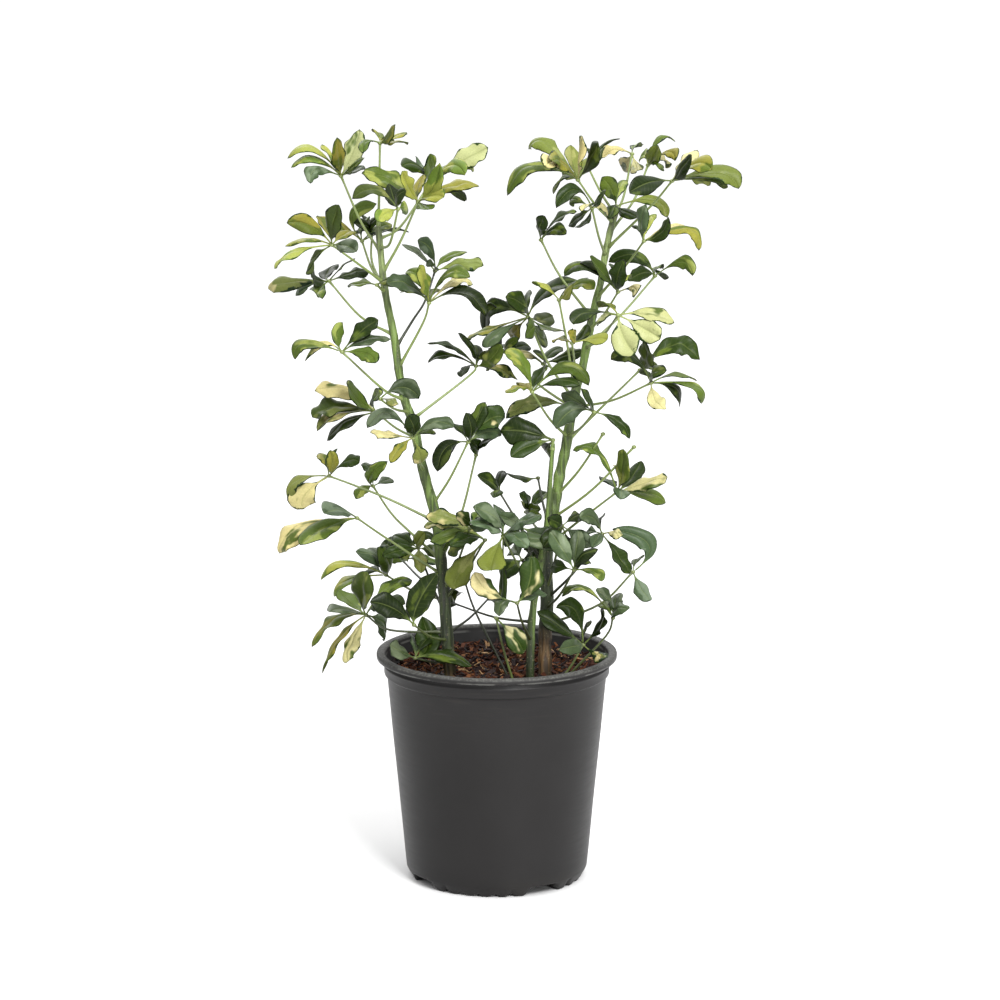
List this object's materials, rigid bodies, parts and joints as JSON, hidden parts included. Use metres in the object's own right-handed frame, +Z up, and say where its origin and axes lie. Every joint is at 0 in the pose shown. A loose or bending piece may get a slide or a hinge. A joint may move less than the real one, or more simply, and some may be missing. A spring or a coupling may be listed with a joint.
{
  "type": "potted umbrella plant",
  "caption": "Variegated umbrella plant with tall leafy stems growing from bark mix in a black plastic nursery pot, a free-standing house plant.",
  "frame": {"origin": "on the floor, under the middle of the whole plant's box", "axes": "+Z up; the pictured front faces -Y; +X to the viewer's right, across the two stems"},
  "size_m": [0.4898, 0.2864, 0.8099],
  "materials": {
    "pot_plastic": "matte black moulded plastic, lightly scuffed",
    "bark_mix": "rough, damp red-brown bark and coir",
    "stem_bark": "green bark with leaf scars, brown and rough near the soil",
    "leaf_green": "waxy semi-gloss, dark green with paler patches",
    "leaf_variegated": "waxy semi-gloss, green with cream patches",
    "leaf_young": "waxy semi-gloss, young yellow-green"
  },
  "bodies": {
    "root": {"nursery_pot": "pot_plastic", "potting_mix": "bark_mix", "stem_left": "stem_bark", "stem_right": "stem_bark", "stem_middle": "stem_bark", "leaf_left_01": "leaf_young", "leaf_left_02": "leaf_young", "leaf_left_03": "leaf_young", "leaf_left_04": "leaf_green", "leaf_left_05": "leaf_green", "leaf_left_06": "leaf_young", "leaf_left_07": "leaf_green", "leaf_left_08": "leaf_green", "leaf_left_09": "leaf_variegated", "leaf_left_10": "leaf_green", "leaf_left_11": "leaf_variegated", "leaf_left_12": "leaf_green", "leaf_left_13": "leaf_green", "leaf_left_14": "leaf_green", "leaf_left_15": "leaf_green", "leaf_left_16": "leaf_green", "leaf_left_17": "leaf_variegated", "leaf_left_18": "leaf_variegated", "leaf_left_19": "leaf_variegated", "leaf_left_20": "leaf_young", "leaf_left_21": "leaf_green", "leaf_left_22": "leaf_green", "leaf_left_23": "leaf_green", "leaf_left_24": "leaf_green", "leaf_left_25": "leaf_variegated", "leaf_middle_01": "leaf_green", "leaf_middle_02": "leaf_green", "leaf_middle_03": "leaf_green", "leaf_right_01": "leaf_variegated", "leaf_right_02": "leaf_green", "leaf_right_03": "leaf_variegated", "leaf_right_04": "leaf_green", "leaf_right_05": "leaf_green", "leaf_right_06": "leaf_green", "leaf_right_07": "leaf_young", "leaf_right_08": "leaf_green", "leaf_right_09": "leaf_green", "leaf_right_10": "leaf_green", "leaf_right_11": "leaf_young", "leaf_right_12": "leaf_green", "leaf_right_13": "leaf_green", "leaf_right_14": "leaf_green", "leaf_right_15": "leaf_green", "leaf_right_16": "leaf_green", "leaf_right_17": "leaf_green", "leaf_right_18": "leaf_young", "leaf_right_19": "leaf_green", "leaf_right_20": "leaf_green", "leaf_right_21": "leaf_green", "leaf_right_22": "leaf_green", "leaf_right_23": "leaf_green", "leaf_right_24": "leaf_green", "leaf_right_25": "leaf_variegated", "leaf_right_26": "leaf_variegated", "leaf_right_27": "leaf_green"}
  },
  "joints": []
}
